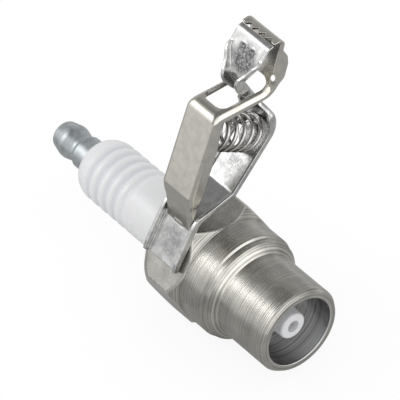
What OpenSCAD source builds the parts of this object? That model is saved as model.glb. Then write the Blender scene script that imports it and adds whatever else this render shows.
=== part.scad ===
// Spark tester: a spark plug with a smooth nose and a spring clip welded to its hexagon.
// +X runs along the plug towards the open nose, +Z is up.
// The origin is on the surface it rests on, under the middle of the hexagon.

/* [Shell] */
// Hexagon across flats
hex_af = 20.64; // [19:0.02:24]
// Hexagon across its rounded corners
hex_corners = 23.5; // [23:0.1:26]
// Length of the flats at their middle
hex_len = 9.9; // [8:0.1:14]
// Run of the front corner chamfer along the axis
hex_front_chamfer = 2.3; // [1:0.1:3]
// Run of the rear corner chamfer along the axis
hex_rear_chamfer = 2.6; // [1:0.1:3]
// Length of the plain barrel ahead of the hexagon
barrel_len = 2.8; // [1.5:0.1:6]
// Radius of the collar ahead of the barrel
collar_r = 9.98; // [9.4:0.02:10.2]
// Length of the collar
collar_len = 2.9; // [1.5:0.1:5]
// Length of the chamfer that ends the collar
collar_chamfer = 0.7; // [0.3:0.1:1]
// Radius at the large end of the tapered seat
seat_r = 9.65; // [9:0.05:9.9]
// Length of the tapered seat
seat_len = 1.1; // [0.8:0.1:4]
// Radius of the smooth nose
nose_r = 8.25; // [7.8:0.05:8.8]
// Length of the smooth nose
nose_len = 11.8; // [9:0.1:20]
// Radius of the open bore in the nose
bore_r = 6.7; // [6:0.05:7]
// Drop of the chamfer outside the flat lip
lip_drop = 0.45; // [0.2:0.05:0.6]
// Run of the chamfer outside the lip
lip_chamfer = 0.9; // [0.3:0.1:2]
// Depth of the open bore
bore_depth = 13.4; // [11:0.1:18]
// Radius of the throat that the insulator passes
throat_r = 4.4; // [4.2:0.05:5]
// Length of the throat
throat_len = 1.2; // [0.6:0.1:2]
// Radius of the chamber that holds the insulator
chamber_r = 7.15; // [6.9:0.05:7.6]
// Length of the shoulder behind the hexagon
rear_len = 1.4; // [1:0.1:3]
// Radius of the shoulder's rear edge
rear_r = 9; // [8:0.1:9.6]
// Length of the lip crimped over the packing
crimp_len = 0.9; // [0.6:0.1:2]
// Radius of the crimped lip's outside at its tip
crimp_r = 7.1; // [6.8:0.05:7.6]

/* [Insulator] */
// Radius of the plain part above the shell
ceramic_r = 5.85; // [5.4:0.05:6.3]
// Depth of the grooves between the ribs
groove_depth = 0.38; // [0.2:0.02:0.6]
// Spacing of the grooves
rib_pitch = 2.33; // [1.8:0.01:3]
// Number of grooves
groove_count = 5; // [3:1:7]
// Length from the shell's crimp to the first groove
plain_len = 10.1; // [6:0.1:16]
// Length of the rounded shoulder over the last groove
dome_len = 5; // [4:0.1:8]
// Radius of the flat top that the terminal seats on
top_r = 3.7; // [3.4:0.05:4.4]
// Radial clearance of the wide part in the shell's chamber
flange_gap = 0.15; // [0.05:0.05:0.3]
// Radius of the two packing rings' wire
packing_r = 0.65; // [0.5:0.05:0.8]
// Length of the wide part
flange_len = 6; // [4:0.1:8]
// Radius of the inner tube at its tip
tip_r = 2.55; // [2.1:0.05:3]
// Radius of the inner tube at its root
root_r = 3.5; // [3:0.05:4.1]
// Distance of the tip inside the mouth
tip_recess = 1.7; // [0.5:0.1:4]
// Rounding of the tip's rim
tip_round = 0.45; // [0.2:0.05:0.8]

/* [Core] */
// Radius of the centre electrode
electrode_r = 1.1; // [0.8:0.05:1.4]
// Distance of the electrode's end inside the ceramic tip
electrode_recess = 1.6; // [0.5:0.1:4]
// Length of the electrode's thin part
electrode_len = 16; // [12:0.1:20]
// Radius of the electrode's head
head_r = 1.8; // [1.6:0.05:2]
// Length of the electrode's head
head_len = 1.6; // [1:0.1:3]
// Radius of the copper core
copper_r = 0.55; // [0.3:0.05:0.8]
// Length of the copper core
copper_len = 12; // [6:0.5:14]
// Length of each glass seal
glass_len = 3; // [2:0.1:5]
// Length of the suppressor
suppressor_len = 8; // [5:0.5:12]
// Thread radius of the terminal stud
stud_r = 2; // [1.8:0.05:2.2]
// Thread pitch of the stud
stud_pitch = 0.7; // [0.5:0.05:0.8]
// Number of thread ridges that stand out of the ceramic
stud_turns = 9; // [6:1:12]
// Radial clearance of the core in its bore
core_gap = 0.05; // [0.02:0.01:0.1]

/* [Terminal nut] */
// Radius of the head
nut_r = 3.175; // [3:0.025:3.5]
// Length of the head
nut_head_len = 5; // [4:0.1:7]
// Rounding of the head's end
nut_round = 1.5; // [0.8:0.1:2]
// Radius of the collar
nut_collar_r = 3.1; // [2.9:0.05:3.3]
// Length of the collar
nut_collar_len = 2.5; // [1.5:0.1:4]
// Radius of the waist between collar and head
nut_waist_r = 2.62; // [2.5:0.02:2.9]
// Length of the waist with its two cones
nut_waist_len = 1.7; // [1:0.1:3]
// Radial running clearance of the nut on the stud
nut_gap = 0.05; // [0.02:0.01:0.1]
// Thickness of metal that closes the head
nut_cap = 1.4; // [0.8:0.1:2]

/* [Clip] */
// Sheet thickness of both levers
sheet = 0.7; // [0.5:0.05:0.9]
// Offset of the clip's middle from the hexagon's middle
clip_x = -0.4; // [-0.8:0.1:0.8]
// Width of the fixed lever
fixed_w = 8.5; // [8:0.1:9.5]
// Width of the moving lever's handle
moving_w = 7.6; // [7.2:0.1:8.4]
// Width of the moving jaw
moving_jaw_w = 8.8; // [8:0.1:9.6]
// Width of the fixed jaw at its tip
fixed_jaw_w = 8.4; // [7.6:0.1:9]
// Width of the window that the fixed jaw's neck passes
window_w = 5.3; // [4.8:0.1:5.5]
// Spare width of the slot that the tongue stands in
side_gap = 0.25; // [0.15:0.05:0.4]
// Gap between the fixed jaw's neck and each side of the window
neck_gap = 1.05; // [0.25:0.05:1.2]
// Side clearance of the foot inside the fixed lever
foot_gap = 0.12; // [0.08:0.02:0.2]
// Gap between parts of the two levers that meet
meet_gap = 0.05; // [0.03:0.01:0.1]
// Number of teeth on the moving jaw
tooth_count = 5; // [3:1:7]
// Depth of the gaps between the teeth
tooth_depth = 0.85; // [0.4:0.05:0.9]

/* [Fixed lever's outline] */
// Start of the base on the flat, from the plug's middle
base_start = -1.2; // [-3:0.1:0]
// Distance of the base's bend from the plug's middle
base_y = 8.3; // [8:0.1:9]
// Distance of the bend at the handle's heel
heel_y = 13.9; // [13:0.1:15]
// Drop of the heel's bend below the flat
heel_drop = 5.57; // [5:0.01:6]
// Distance of the shoulder's bend
shoulder_y = 28.7; // [28:0.1:29.5]
// Drop of the shoulder's bend below the flat
shoulder_drop = 8.46; // [8:0.01:9]
// Distance of the bend where the neck meets the jaw
root_y = 35; // [34.5:0.1:35.5]
// Rise of that bend above the flat
root_rise = 2.25; // [2:0.05:2.5]
// Distance of the jaw's crown
crown_y = 39.2; // [38.8:0.1:39.6]
// Rise of the jaw's crown above the flat
crown_rise = 2.8; // [2.6:0.05:3]
// Distance of the jaw's tip
tip_y = 42.45; // [42.2:0.05:42.6]
// Rise of the jaw's tip above the flat
tip_rise = 2.1; // [2:0.05:2.2]
// Depth of the flanges beside the base, from the outer face
base_flange = 1.8; // [1.4:0.1:2]
// Depth of the flanges along the handle
handle_flange = 1.5; // [1.3:0.1:1.8]
// Depth of the flanges along the neck and the jaw
neck_flange = 1.5; // [1.2:0.1:2.3]
// Distance where the full width ends below the neck
neck_start = 31; // [30.5:0.1:31]
// Distance where the neck ends and the jaw spreads
neck_end = 35.6; // [35.3:0.1:36]
// Distance where the jaw is at its full width
jaw_spread = 39; // [38:0.1:39.5]

/* [Moving lever's outline] */
// Slope of the foot against the flat
foot_angle = 34.6; // [33:0.1:36]
// Distance of the plate's lower bend from the plug's middle
plate_y = 12.6; // [12:0.1:13]
// Rise of the plate's lower bend above the flat
plate_rise = 5.1; // [5:0.05:5.3]
// Distance of the bend at the top of the plate
top_y = 28.8; // [28.5:0.1:29]
// Rise of the top bend above the flat
top_rise = 7.85; // [7.7:0.05:8]
// Distance of the bend between the frame and the jaw
frame_y = 34.5; // [34.3:0.1:34.7]
// Drop of that bend below the flat
frame_drop = 1.95; // [1.8:0.05:2.1]
// Distance of the slight bend in the jaw
grip_y = 41.4; // [41:0.1:41.6]
// Rise of the slight bend above the flat
grip_rise = 0.05; // [0:0.05:0.1]
// Distance of the bend of the toothed lip
lip_y = 44; // [43.9:0.05:44.2]
// Rise of the lip's bend above the flat
lip_rise = 0.75; // [0.6:0.05:0.8]
// Direction of the lip
lip_angle = 125; // [122:1:128]
// Length of the lip
lip_len = 2.35; // [2.2:0.05:2.4]
// Depth of the flanges along the plate, from the outer face
plate_flange = 2.8; // [2.4:0.1:3]
// Depth of the flanges along the frame
frame_flange = 1.5; // [1.3:0.1:1.7]
// Depth of the flanges along the jaw
jaw_flange = 2.6; // [2.2:0.1:2.8]
// Distance of the window's start from the top bend
window_start = 2; // [1.4:0.1:2.4]
// Distance of the window's end from the top bend
window_end = 11; // [10.8:0.1:11.2]
// Radius of the window's corners
window_round = 1.5; // [0.6:0.1:1.6]
// Distance where the foot widens to the handle
foot_end = 10.5; // [10.4:0.1:11]
// Width of the tongue under the foot
tongue_w = 2; // [1.6:0.1:2.4]
// Thickness of the tongue
tongue_t = 0.7; // [0.5:0.05:0.8]

/* [Spring] */
// Distance of the spring's axis from the plug's middle
spring_y = 24.3; // [24:0.1:24.6]
// Mean radius of the turn that seats in the moving lever
seat_turn_r = 2.6; // [2.5:0.05:2.65]
// Radius of the wire
wire_r = 0.39; // [0.3:0.01:0.45]
// Mean radius of the coils
coil_r = 3.1; // [3:0.05:3.12]
// Number of turns
coil_turns = 6.5; // [5:0.5:7]
// Radius of the raised seat inside each end of the spring
boss_r = 1.8; // [1.4:0.1:1.9]
// Height of the raised seat
boss_h = 0.8; // [0.5:0.1:1.2]

/* [Welds] */
// Radius of a weld nugget
nugget_r = 1.2; // [0.8:0.1:1.4]
// Depth of a nugget into each of the two parts
nugget_depth = 0.35; // [0.2:0.05:0.4]
// Spacing of the two nuggets
nugget_pitch = 3; // [3:0.1:3.6]

/* [Hidden] */
$fn = 96;
eps = 0.01;

// Places along the plug, counted from the middle of the hexagon
axis_z = hex_af / 2;
hex_front = hex_len / 2;
hex_rear = -hex_len / 2;
barrel_r = hex_af / 2 - 0.02;
collar_rear = hex_front + barrel_len;
collar_front = collar_rear + collar_len + collar_chamfer;
nose_rear = collar_front + seat_len;
mouth = nose_rear + nose_len;
throat_front = mouth - bore_depth - (bore_r - throat_r) * 0.5;
throat_rear = throat_front - throat_len;
gasket_h = 0.5;
seat_slope = 0.75;
chamber_front = throat_rear - (chamber_r - throat_r) * seat_slope;
shoulder_rear = hex_rear - rear_len;
crimp_rear = shoulder_rear - crimp_len;
crimp_wall = 0.9;
flange_front = chamber_front - gasket_h;
flange_rear = flange_front - flange_len;
packing_rear = shoulder_rear + 0.2;
flange_r = chamber_r - flange_gap;
neck_r = chamber_r - 2 * packing_r;

// Places along the insulator
tip = mouth - tip_recess;
first_groove = crimp_rear - plain_len;
last_groove = first_groove - (groove_count - 1) * rib_pitch;
top = last_groove - dome_len;
core_r = stud_r + core_gap;
electrode_front = tip - electrode_recess;
head_front = electrode_front - electrode_len;
head_rear = head_front - head_len;
seal_rear = head_rear - glass_len;
suppressor_rear = seal_rear - suppressor_len;
stud_front = suppressor_rear - glass_len;
stud_rear = top - stud_turns * stud_pitch;

// Outlines of the two levers, seen along the plug: y lies along the welded flat
// and z away from it, both from the plug's axis
flat_z = hex_af / 2;
heel_bend = [heel_y, flat_z - heel_drop];
shoulder_bend = [shoulder_y, flat_z - shoulder_drop];
fixed_line = bent([[base_start, flat_z], [base_y, flat_z], heel_bend, shoulder_bend, [root_y, flat_z + root_rise], [crown_y, flat_z + crown_rise],
    [tip_y, flat_z + tip_rise]], [0, 1, 2, 4.6, 1.2, 9, 0]);
// Depth of the fixed lever's flanges from its outer face, by distance
fixed_depths = [[base_start, base_flange - 0.3], [base_start + 1.6, base_flange], [base_y - 0.9, base_flange],
    [base_y + 1.2, handle_flange], [shoulder_y - 3.7, handle_flange], [shoulder_y - 0.7, handle_flange + 0.3],
    [neck_start - 0.8, handle_flange + 0.3], [neck_start, sheet]];
neck_depths = [[neck_start + 0.4, sheet], [neck_start + 1.4, neck_flange], [jaw_spread - 0.6, neck_flange],
    [jaw_spread + 0.9, sheet]];

foot_z = flat_z + sheet + meet_gap;
pivot = [7.4, foot_z - meet_gap];
plate_bend = [plate_y, flat_z + plate_rise];
top_bend = [top_y, flat_z + top_rise];
frame_bend = [frame_y, flat_z - frame_drop];
lip_bend = [lip_y, flat_z + lip_rise];
foot_start = plate_bend - (plate_rise / sin(foot_angle)) * dir(foot_angle);
moving_line = bent([foot_start, plate_bend, top_bend, frame_bend, [grip_y, flat_z + grip_rise], lip_bend,
    lip_bend + lip_len * dir(lip_angle)], [0, 1, 2.4, 1.6, 5, 0.3, 0]);
// Depth of the moving lever's flanges from its outer face, by distance
moving_depths = [[plate_y - 5.1, sheet], [plate_y - 4.1, 0.9], [plate_y - 2.1, 2.1], [plate_y, plate_flange],
    [top_y - 6.8, plate_flange], [top_y - 2.8, 2.2], [top_y - 0.8, 1.9], [frame_y - 0.5, frame_flange],
    [frame_y + 1, 1.9], [frame_y + 2.5, jaw_flange - 0.1], [grip_y - 1.9, jaw_flange], [grip_y - 0.4, 2.1],
    [lip_y - 1.5, 1]];
frame_angle = atan2(frame_bend[1] - top_bend[1], frame_bend[0] - top_bend[0]);
frame_root = frame_y + 1.5;
foot_w = fixed_w - 2 * sheet - 2 * foot_gap;
neck_w = window_w - 2 * neck_gap;
tongue_start = pivot[0] - 0.1 - tongue_t;
tongue_drop = sheet + 0.2;
slot_gap = 0.45;
window_depth = 4.6;
far = 200;

// The spring stands between the moving plate and the fixed lever's floor
plate_slope = (top_bend[1] - plate_bend[1]) / (top_bend[0] - plate_bend[0]);
floor_slope = (shoulder_bend[1] - heel_bend[1]) / (shoulder_bend[0] - heel_bend[0]);
function plate_inside(y) = plate_bend[1] + plate_slope * (y - plate_bend[0]) - sheet * sqrt(1 + pow(plate_slope, 2));
function floor_inside(y) = heel_bend[1] + floor_slope * (y - heel_bend[0]) + sheet * sqrt(1 + pow(floor_slope, 2));
coil_steps = 8;
coil_sides = 6;

// A unit step in a direction, and a vector turned left
function dir(a) = [cos(a), sin(a)];
function left(v) = [-v[1], v[0]];
function unit(v) = v / norm(v);

// The arc of radius r that rounds corner p between two directions
function arc(p, a, b, r, steps) =
    let (turn = atan2(a[0] * b[1] - a[1] * b[0], a * b), side = sign(turn), start = atan2(a[1], a[0]),
        centre = p - a * r * tan(abs(turn) / 2) + side * left(a) * r)
    [for (k = [0 : steps]) centre - side * left(dir(start + turn * k / steps)) * r];

// A line of points with its corners rounded to the radii
function bent(p, r, steps = 8) = [p[0],
    for (i = [1 : len(p) - 2]) each arc(p[i], unit(p[i] - p[i - 1]), unit(p[i + 1] - p[i]), r[i], steps),
    p[len(p) - 1]];

// The line moved sideways by its own depth at each point, to the left for a positive depth
function shifted(p, depth) = [for (i = [0 : len(p) - 1])
    let (a = left(unit(i == 0 ? p[1] - p[0] : p[i] - p[i - 1])),
        b = left(unit(i == len(p) - 1 ? p[i] - p[i - 1] : p[i + 1] - p[i])), m = unit(a + b))
    p[i] + m / (m * a) * depth[i]];

function even_depth(p, d) = [for (q = p) d];
function table_depth(p, table, side) = [for (q = p) side * lookup(q[0], table)];
function backwards(p) = [for (i = [len(p) - 1 : -1 : 0]) p[i]];

// Turns a profile of [place, radius] about the plug's axis
module spun(profile) {
    translate([0, 0, axis_z]) rotate([0, 90, 0]) rotate_extrude() polygon([for (q = profile) [q[1], q[0]]]);
}

// Stands clip parts, drawn about the plug's axis, on their flat of the hexagon
module on_flat() {
    translate([clip_x, 0, axis_z]) rotate([60, 0, 0]) children();
}

// Draws a side outline of the clip and gives it a width across the plug's axis
module across(w, x = 0) {
    translate([x - w / 2, 0, 0]) rotate([90, 0, 90]) linear_extrude(w) children();
}

// The line with more points where the table has its own
function stopped(p, table) = [for (i = [0 : len(p) - 2]) each concat([p[i]],
    [for (t = table) if (t[0] > p[i][0] + eps && t[0] < p[i + 1][0] - eps)
        p[i] + (p[i + 1] - p[i]) * (t[0] - p[i][0]) / (p[i + 1][0] - p[i][0])]), p[len(p) - 1]];

// The side view of a sheet along a line, and of its flanges
module sheet_side(line, side) {
    polygon(concat(line, backwards(shifted(line, even_depth(line, side * sheet)))));
}

module flange_side(line, table, side) {
    stops = stopped(line, table);
    polygon(concat(line, backwards(shifted(stops, table_depth(stops, table, side)))));
}

// A sheet along a line, with a flange down each edge
module channel(line, w, table, side) {
    across(w) sheet_side(line, side);
    for (x = [-1, 1]) across(sheet, x * (w - sheet) / 2) flange_side(line, table, side);
}

// Everything of the clip between two values of y
module stretch(y0, y1) {
    intersection() {
        children();
        translate([-far / 2, y0, -far / 2]) cube([far, y1 - y0, far]);
    }
}

// A rectangle with round corners, centred on x and starting at y = 0
module rounded_rect(w, h, r) {
    translate([-w / 2 + r, 0]) square([w - 2 * r, h]);
    translate([-w / 2, r]) square([w, h - 2 * r]);
    for (x = [-1, 1], y = [r, h - r]) translate([x * (w / 2 - r), y]) circle(r, $fn = 32);
}

module hexagon() {
    intersection() {
        translate([hex_rear, 0, axis_z]) rotate([0, 90, 0]) rotate([0, 0, 90])
            cylinder(h = hex_len, r = hex_af / sqrt(3), $fn = 6);
        spun([[hex_rear, 0], [hex_rear, barrel_r], [hex_rear + hex_rear_chamfer, hex_corners / 2],
            [hex_front - hex_front_chamfer, hex_corners / 2], [hex_front, barrel_r], [hex_front, 0]]);
    }
}

module nugget_spots(depth) {
    for (k = [0, 1]) translate([0, base_start + 1.75 + k * nugget_pitch, flat_z - depth])
        cylinder(h = 2 * depth, r = nugget_r);
}

module shell() {
    color("silver") difference() {
        union() {
            hexagon();
            spun([[mouth, 0], [mouth, nose_r - lip_drop], [mouth - lip_chamfer, nose_r], [nose_rear, nose_r],
                [collar_front, seat_r], [collar_front - collar_chamfer, collar_r], [collar_rear, collar_r],
                [collar_rear, barrel_r], [hex_front, barrel_r], [hex_front, rear_r], [hex_rear, rear_r],
                [hex_rear, barrel_r], [shoulder_rear, rear_r], [shoulder_rear, chamber_r + crimp_wall],
                [crimp_rear, crimp_r], [crimp_rear, 0]]);
        }
        spun([[mouth + 1, 0], [mouth + 1, bore_r], [mouth - bore_depth, bore_r], [throat_front, throat_r],
            [throat_rear, throat_r], [chamber_front, chamber_r], [shoulder_rear, chamber_r],
            [crimp_rear + 0.4, ceramic_r + core_gap], [crimp_rear - 1, ceramic_r + core_gap], [crimp_rear - 1, 0]]);
        on_flat() nugget_spots(nugget_depth);
    }
}

module insulator() {
    tip_back = tip - tip_round;
    ribs = [for (i = [0 : groove_count - 1]) each [for (a = [0 : 45 : 315])
        [first_groove - i * rib_pitch + rib_pitch * (0.5 - a / 360) , ceramic_r - groove_depth * pow(sin(a / 2), 2)]]];
    dome = [for (a = [80 : -10 : 0]) [top + (dome_len - rib_pitch / 2) * (1 - sin(a)), top_r + (ceramic_r - top_r) * cos(a)]];
    color("white") difference() {
        spun(concat([[tip, 0], [tip, tip_r - tip_round]],
            [for (a = [30 : 30 : 90]) [tip_back + tip_round * cos(a), tip_r - tip_round + tip_round * sin(a)]],
            [[throat_front, root_r], [throat_rear, throat_r - 4 * core_gap],
            [flange_front, flange_r], [flange_rear, flange_r], [flange_rear - 1, neck_r],
            [shoulder_rear + 0.3, neck_r], [shoulder_rear, ceramic_r],
            [first_groove + rib_pitch / 2 + eps, ceramic_r]], ribs, backwards(dome), [[top, top_r], [top, 0]]));
        spun([[tip + 1, 0], [tip + 1, electrode_r + core_gap], [head_front, electrode_r + core_gap],
            [head_front, core_r], [top - 1, core_r], [top - 1, 0]]);
    }
}

module inner_gasket() {
    color("goldenrod") spun([[throat_rear, throat_r - core_gap], [chamber_front, chamber_r],
        [flange_front, chamber_r], [flange_front, flange_r], [throat_rear - eps, throat_r - 3 * core_gap]]);
}

module packing_ring(x) {
    spun([for (a = [0 : 15 : 345]) [x + packing_r * cos(a), neck_r + packing_r + (packing_r - core_gap) * sin(a)]]);
}

module lower_packing_ring() {
    color("dimgray") packing_ring(flange_rear - 1 - packing_r);
}

module upper_packing_ring() {
    color("dimgray") packing_ring(packing_rear + packing_r);
}

module talc_packing() {
    front = flange_rear - 1 - 2 * packing_r;
    rear = packing_rear + 2 * packing_r;
    color("gainsboro") spun([[front, neck_r], [front, chamber_r], [rear, chamber_r], [rear, neck_r]]);
}

module centre_electrode() {
    color("slategray") difference() {
        spun([[electrode_front, 0], [electrode_front, electrode_r], [head_front, electrode_r],
            [head_front, head_r], [head_rear, head_r], [head_rear, 0]]);
        spun([[head_front, 0], [head_front, copper_r], [head_front + copper_len, copper_r], [head_front + copper_len, 0]]);
    }
}

module electrode_core() {
    color("peru") spun([[head_front, 0], [head_front, copper_r], [head_front + copper_len, copper_r],
        [head_front + copper_len, 0]]);
}

module filling(front, rear) {
    spun([[front, 0], [front, core_r], [rear, core_r], [rear, 0]]);
}

module lower_glass_seal() {
    color("saddlebrown") filling(head_rear, seal_rear);
}

module suppressor() {
    color("darkslategray") filling(seal_rear, suppressor_rear);
}

module upper_glass_seal() {
    color("saddlebrown") filling(suppressor_rear, stud_front);
}

module terminal_stud() {
    thread = [for (i = [0 : stud_turns - 1]) each [[top - i * stud_pitch, stud_r - 0.35],
        [top - (i + 0.5) * stud_pitch, stud_r]]];
    color("lightsteelblue") spun(concat([[stud_front, 0], [stud_front, stud_r]], [[top + 0.5, stud_r]], thread,
        [[stud_rear, stud_r - 0.35], [stud_rear, 0]]));
}

module terminal_nut() {
    collar_end = top - nut_collar_len;
    waist_end = collar_end - nut_waist_len;
    nut_end = waist_end - nut_head_len;
    round_r = nut_round;
    color("lightslategray") difference() {
        spun(concat([[top, 0], [top, nut_collar_r], [collar_end, nut_collar_r],
            [collar_end - nut_waist_len * 0.25, nut_waist_r], [collar_end - nut_waist_len * 0.5, nut_waist_r],
            [waist_end, nut_r]], [for (a = [0 : 15 : 75])
            [nut_end + round_r - round_r * sin(a), nut_r - round_r + round_r * cos(a)]],
            [[nut_end, nut_r - round_r], [nut_end, 0]]));
        spun([[top + 1, 0], [top + 1, stud_r + nut_gap], [min(nut_end + nut_cap, stud_rear - 0.2), stud_r + nut_gap],
            [min(nut_end + nut_cap, stud_rear - 0.2), 0]]);
    }
}

// The round seat that centres the spring, rising from a lever's inner face
module spring_seat() {
    translate([0, 0, -sheet / 2]) cylinder(h = sheet / 2 + boss_h, r = boss_r);
}

// The jaw spreads from the neck in plan, and its flanges follow the spreading edges
module fixed_jaw() {
    neck = neck_w / 2;
    wide = fixed_jaw_w / 2;
    end = tip_y + sheet;
    stretch(neck_end - 0.6, end) intersection() {
        across(fixed_jaw_w) sheet_side(fixed_line, 1);
        linear_extrude(far) polygon([[-neck, neck_end - 2], [-neck, neck_end], [-wide, jaw_spread], [-wide, end],
            [wide, end], [wide, jaw_spread], [neck, neck_end], [neck, neck_end - 2]]);
    }
    for (s = [0, 1]) mirror([s, 0, 0]) stretch(neck_end - 0.6, end) intersection() {
        across(fixed_jaw_w) flange_side(fixed_line, neck_depths, 1);
        linear_extrude(far) polygon([[neck - sheet, neck_end - 2], [neck - sheet, neck_end], [wide - sheet, jaw_spread],
            [wide - sheet, end], [wide, end], [wide, jaw_spread], [neck, neck_end], [neck, neck_end - 2]]);
    }
    for (x = [-1, 1]) translate([x * 1.2, crown_y + 1, flat_z + crown_rise + sheet - 0.35]) sphere(0.6, $fn = 24);
}

module fixed_lever() {
    color("gainsboro") on_flat() {
        difference() {
            union() {
                stretch(base_start - 1, neck_start) channel(fixed_line, fixed_w, fixed_depths, 1);
                stretch(neck_start - 0.5, neck_end) channel(fixed_line, neck_w, neck_depths, 1);
                fixed_jaw();
                translate([0, spring_y, floor_inside(spring_y)]) rotate([atan(floor_slope), 0, 0]) spring_seat();
            }
            translate([-tongue_w / 2 - side_gap / 2, tongue_start - slot_gap, flat_z - sheet])
                cube([tongue_w + side_gap, tongue_t + 0.15 + slot_gap, 3 * sheet]);
            nugget_spots(nugget_depth);
        }
    }
}

module moving_lever() {
    frame_dir = dir(frame_angle);
    color("lightgray") on_flat() {
        difference() {
            union() {
                intersection() {
                    stretch(0, foot_end + 0.5) channel(moving_line, foot_w, moving_depths, -1);
                    translate([-far / 2, 0, foot_z]) cube([far, far, far]);
                }
                stretch(foot_end, frame_root) channel(moving_line, moving_w, moving_depths, -1);
                stretch(frame_root - 1, far) channel(moving_line, moving_jaw_w, moving_depths, -1);
                across(tongue_w) polygon([[tongue_start, foot_z + 0.3], [tongue_start, foot_z - tongue_drop],
                    [tongue_start + tongue_t, foot_z - tongue_drop], [tongue_start + tongue_t, foot_z + 0.8]]);
                translate([0, spring_y, plate_inside(spring_y)]) rotate([180 + atan(plate_slope), 0, 0]) spring_seat();
            }
            translate([0, top_bend[0] + window_start * frame_dir[0], top_bend[1] + window_start * frame_dir[1]])
                rotate([frame_angle, 0, 0]) translate([0, 0, -window_depth / 2]) linear_extrude(window_depth)
                rounded_rect(window_w, window_end - window_start, window_round);
            for (i = [1 : tooth_count - 1]) translate([(i / tooth_count - 0.5) * moving_jaw_w,
                lip_bend[0] + lip_len * cos(lip_angle), lip_bend[1] + lip_len * sin(lip_angle)])
                rotate([lip_angle - 90, 0, 0]) rotate([90, 0, 0]) cylinder(h = 3, r = tooth_depth, center = true, $fn = 4);
        }
    }
}

// Centre line of the spring's wire: s runs from 0 at the moving plate to 1 at the floor
function coil_point(s) =
    let (a = 360 * coil_turns * s,
        r = lookup(coil_turns * s, [[1, seat_turn_r], [1.7, coil_r]]), y = spring_y + r * sin(a),
        high = plate_inside(y) - wire_r - meet_gap, low = floor_inside(y) + wire_r + meet_gap)
    [r * cos(a), y, high + (low - high) * s];
coil_count = coil_turns * coil_steps;
coil_line = [for (k = [0 : coil_count]) coil_point(k / coil_count)];
coil_least = min([for (i = [0 : coil_count], j = [0 : coil_count]) if (j - i > coil_steps / 2)
    norm(coil_line[i] - coil_line[j])]) - 2 * wire_r;

// A tube of the wire's radius along the points
module wire(points) {
    n = len(points);
    rings = [for (i = [0 : n - 1])
        let (t = unit(points[min(i + 1, n - 1)] - points[max(i - 1, 0)]), u = unit(cross(t, [0, 0, 1])), v = cross(t, u))
        for (k = [0 : coil_sides - 1])
            points[i] + wire_r * (u * cos(360 * k / coil_sides) + v * sin(360 * k / coil_sides))];
    sides = [for (i = [0 : n - 2], k = [0 : coil_sides - 1])
        let (a = i * coil_sides + k, b = i * coil_sides + (k + 1) % coil_sides)
        each [[a, b, b + coil_sides], [a, b + coil_sides, a + coil_sides]]];
    caps = [for (k = [1 : coil_sides - 2]) each [[0, k + 1, k],
        [(n - 1) * coil_sides, (n - 1) * coil_sides + k, (n - 1) * coil_sides + k + 1]]];
    polyhedron(rings, concat(sides, caps));
}

module clip_spring() {
    echo(least_gap_of_spring_to_itself = coil_least);
    color("whitesmoke") on_flat() wire(coil_line);
}

module weld_nuggets() {
    color("darkgray") on_flat() nugget_spots(nugget_depth);
}

shell();
insulator();
inner_gasket();
lower_packing_ring();
talc_packing();
upper_packing_ring();
centre_electrode();
electrode_core();
lower_glass_seal();
suppressor();
upper_glass_seal();
terminal_stud();
terminal_nut();
fixed_lever();
moving_lever();
clip_spring();
weld_nuggets();
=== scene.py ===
"""A spark tester: a spark plug with a smooth nose and a spring clip on its hexagon.

Outlines are in millimetres, in the frame of the CAD model: x along the plug, z up.
The clip's own outlines are (y, z) from the plug's axis: y lies along the flat that the
clip is welded to, and z stands away from it.
"""

import math

import bmesh
import bpy
from mathutils import Matrix, Vector


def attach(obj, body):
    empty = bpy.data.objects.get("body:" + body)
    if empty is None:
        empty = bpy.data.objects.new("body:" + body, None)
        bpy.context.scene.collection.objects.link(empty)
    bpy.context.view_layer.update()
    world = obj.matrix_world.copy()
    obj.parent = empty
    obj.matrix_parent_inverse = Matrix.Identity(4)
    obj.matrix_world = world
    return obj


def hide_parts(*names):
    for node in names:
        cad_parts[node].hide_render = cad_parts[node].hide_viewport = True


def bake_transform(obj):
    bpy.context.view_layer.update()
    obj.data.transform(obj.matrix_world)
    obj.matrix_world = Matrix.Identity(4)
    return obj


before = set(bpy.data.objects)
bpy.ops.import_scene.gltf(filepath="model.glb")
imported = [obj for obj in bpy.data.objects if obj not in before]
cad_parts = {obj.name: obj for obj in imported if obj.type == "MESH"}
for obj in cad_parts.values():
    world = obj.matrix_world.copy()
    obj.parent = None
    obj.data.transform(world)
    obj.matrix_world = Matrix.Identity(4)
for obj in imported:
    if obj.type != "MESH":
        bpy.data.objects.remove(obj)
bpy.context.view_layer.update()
MM = 0.001

# The plug's main places along x and its radii. FLAT_Z is how far the hexagon's flats are from
# the axis
FLAT_Z = 10.32
AXIS_Z = FLAT_Z
HEX_HALF = 4.95
BARREL_R = 10.17
BARREL_END = 9.75
SEAT_REAR = 11.15
SEAT_R = 9.75
NOSE_REAR = 12.45
NOSE_R = 8.25
MOUTH = 24.25
BORE_R = 6.7
BORE_DEPTH = 13.4
STEP_FRONT = 9.735
STEP_REAR = 8.535
SHOULDER_REAR = -6.35
CRIMP_REAR = -7.25
CRIMP_R = 5.9
INSIDE_R = 7.15
# The insulator's two ends
TIP = 22.55
TOP = -31.4

# The clip's place, its sheet, and where its spring stands
CLIP_X = -0.4
CLIP_TURN = math.radians(60)
SHEET = 0.7
SPRING_Y = 24.3
CLIP_PLACE = Matrix.Translation((CLIP_X, 0, AXIS_Z)) @ Matrix.Rotation(CLIP_TURN, 4, "X")

# The camera
CAMERA_AZIMUTH = math.radians(51.31)
CAMERA_ELEVATION = math.radians(41.948)
CAMERA_DISTANCE = 1.0
CAMERA_LENS = 534.96
# The point it looks at, to the left of the mouth and above it in the picture
AIM_LEFT = 16.787
AIM_UP = 22.198


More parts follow.
